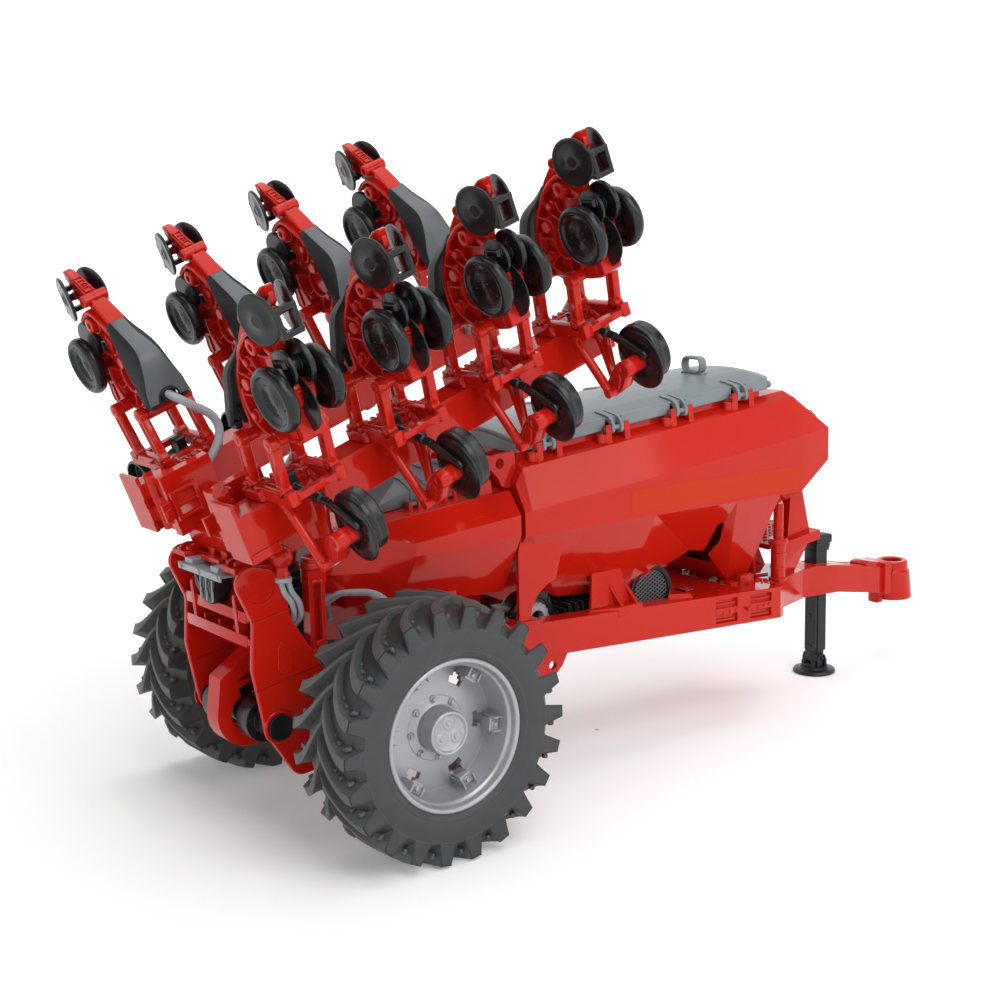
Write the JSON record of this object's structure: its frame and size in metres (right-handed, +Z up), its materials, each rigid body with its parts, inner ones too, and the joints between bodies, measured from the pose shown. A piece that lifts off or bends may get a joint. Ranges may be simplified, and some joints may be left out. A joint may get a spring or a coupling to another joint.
{
  "type": "toy precision seeder",
  "caption": "Towed precision seed drill model on two lugged wheels and a jack, with a long hopper, opening lids and folding wings that carry row units with spinning gauge wheels.",
  "frame": {"origin": "on the ground under the middle of the overall box", "axes": "+X forward to the drawbar, +Y to the left, +Z up"},
  "size_m": [0.4226, 0.1776, 0.2654],
  "materials": {
    "black_plastic": "satin black plastic",
    "red_plastic": "glossy moulded red plastic",
    "hose_grey": "light grey plastic",
    "lid_grey": "smooth mid-grey moulded plastic",
    "dark_grey": "fine-grained dark grey plastic",
    "rim_silver": "silver metallic plastic",
    "tyre_rubber": "matt dark grey rubber"
  },
  "bodies": {
    "chassis": {"air_duct": "black_plastic", "axle": "black_plastic", "blower": "black_plastic", "chassis_frame": "red_plastic", "coupling": "red_plastic", "drawbar": "red_plastic", "feed_pipes": "hose_grey", "front_hopper": "red_plastic", "hook_tube": "black_plastic", "hopper_brackets": "red_plastic", "platform": "red_plastic", "platform_posts": "red_plastic", "rear_tank": "red_plastic"},
    "hopper_lid": {"hopper_lid": "lid_grey"},
    "tank_lid": {"tank_lid": "dark_grey"},
    "jack": {"jack": "dark_grey"},
    "wheel_right": {"rim_right": "rim_silver", "tyre_right": "tyre_rubber"},
    "wheel_left": {"rim_left": "rim_silver", "tyre_left": "tyre_rubber"},
    "rear_frame": {"centre_head": "red_plastic", "feed_head": "red_plastic", "latch_bar": "hose_grey", "lift_frame": "red_plastic", "rear_side_plates": "red_plastic", "wing_struts": "red_plastic"},
    "wing_right": {"closing_discs_right": "black_plastic", "coulter_discs_right": "black_plastic", "coulters_right": "red_plastic", "link_arms_right": "red_plastic", "opener_discs_right": "black_plastic", "seed_hoses_right": "hose_grey", "toolbar_right": "red_plastic", "unit_bodies_right": "red_plastic", "unit_hoods_right": "dark_grey", "unit_tails_right": "red_plastic", "wing_root_right": "red_plastic"},
    "wing_left": {"closing_discs_left": "black_plastic", "coulter_discs_left": "black_plastic", "coulters_left": "red_plastic", "link_arms_left": "red_plastic", "opener_discs_left": "black_plastic", "seed_hoses_left": "hose_grey", "toolbar_left": "red_plastic", "unit_bodies_left": "red_plastic", "unit_hoods_left": "dark_grey", "unit_tails_left": "red_plastic", "wing_root_left": "red_plastic"},
    "gauge_right_1": {"gauge_wheels_right_1": "black_plastic"},
    "gauge_right_2": {"gauge_wheels_right_2": "black_plastic"},
    "gauge_right_3": {"gauge_wheels_right_3": "black_plastic"},
    "gauge_right_4": {"gauge_wheels_right_4": "black_plastic"},
    "gauge_left_1": {"gauge_wheels_left_1": "black_plastic"},
    "gauge_left_2": {"gauge_wheels_left_2": "black_plastic"},
    "gauge_left_3": {"gauge_wheels_left_3": "black_plastic"},
    "gauge_left_4": {"gauge_wheels_left_4": "black_plastic"}
  },
  "joints": [
    {"name": "rear_frame_swing", "type": "hinge", "parent": "chassis", "child": "rear_frame", "pos_m": [-0.17834, 0, 0.047], "axis": [0, -1, 0], "range_deg": [0, 69.6]},
    {"name": "wing_fold_right", "type": "hinge", "parent": "rear_frame", "child": "wing_right", "pos_m": [-0.19457, -0.029, 0.12808], "axis": [0.3486, 0, -0.9373], "range_deg": [0, 90]},
    {"name": "wing_fold_left", "type": "hinge", "parent": "rear_frame", "child": "wing_left", "pos_m": [-0.19457, 0.029, 0.12808], "axis": [-0.3486, 0, 0.9373], "range_deg": [0, 90]},
    {"name": "wheel_spin_right", "type": "hinge", "parent": "chassis", "child": "wheel_right", "pos_m": [-0.13734, -0.0685, 0.049], "axis": [0, 1, 0], "continuous": true},
    {"name": "wheel_spin_left", "type": "hinge", "parent": "chassis", "child": "wheel_left", "pos_m": [-0.13734, 0.0685, 0.049], "axis": [0, 1, 0], "continuous": true},
    {"name": "jack_slide", "type": "slide", "parent": "chassis", "child": "jack", "axis": [0, 0, 1], "range_m": [0, 0.028]},
    {"name": "hopper_lid_hinge", "type": "hinge", "parent": "chassis", "child": "hopper_lid", "pos_m": [0.00466, -0.0316, 0.1459], "axis": [0.9956, 0, 0.0934], "range_deg": [0, 60]},
    {"name": "tank_lid_hinge", "type": "hinge", "parent": "chassis", "child": "tank_lid", "pos_m": [-0.10234, -0.023, 0.1234], "axis": [0.9956, 0, 0.0936], "range_deg": [0, 70]},
    {"name": "gauge_spin_right_1", "type": "hinge", "parent": "wing_right", "child": "gauge_right_1", "pos_m": [-0.19176, -0.0768, 0.17991], "axis": [0.9373, 0, 0.3486], "continuous": true},
    {"name": "gauge_spin_right_2", "type": "hinge", "parent": "wing_right", "child": "gauge_right_2", "pos_m": [-0.14781, -0.0768, 0.19626], "axis": [0.9373, 0, 0.3486], "continuous": true},
    {"name": "gauge_spin_right_3", "type": "hinge", "parent": "wing_right", "child": "gauge_right_3", "pos_m": [-0.10385, -0.0768, 0.21261], "axis": [0.9373, 0, 0.3486], "continuous": true},
    {"name": "gauge_spin_right_4", "type": "hinge", "parent": "wing_right", "child": "gauge_right_4", "pos_m": [-0.05989, -0.0768, 0.22896], "axis": [0.9373, 0, 0.3486], "continuous": true},
    {"name": "gauge_spin_left_1", "type": "hinge", "parent": "wing_left", "child": "gauge_left_1", "pos_m": [-0.19176, 0.0768, 0.17991], "axis": [0.9373, 0, 0.3486], "continuous": true},
    {"name": "gauge_spin_left_2", "type": "hinge", "parent": "wing_left", "child": "gauge_left_2", "pos_m": [-0.14781, 0.0768, 0.19626], "axis": [0.9373, 0, 0.3486], "continuous": true},
    {"name": "gauge_spin_left_3", "type": "hinge", "parent": "wing_left", "child": "gauge_left_3", "pos_m": [-0.10385, 0.0768, 0.21261], "axis": [0.9373, 0, 0.3486], "continuous": true},
    {"name": "gauge_spin_left_4", "type": "hinge", "parent": "wing_left", "child": "gauge_left_4", "pos_m": [-0.05989, 0.0768, 0.22896], "axis": [0.9373, 0, 0.3486], "continuous": true}
  ]
}
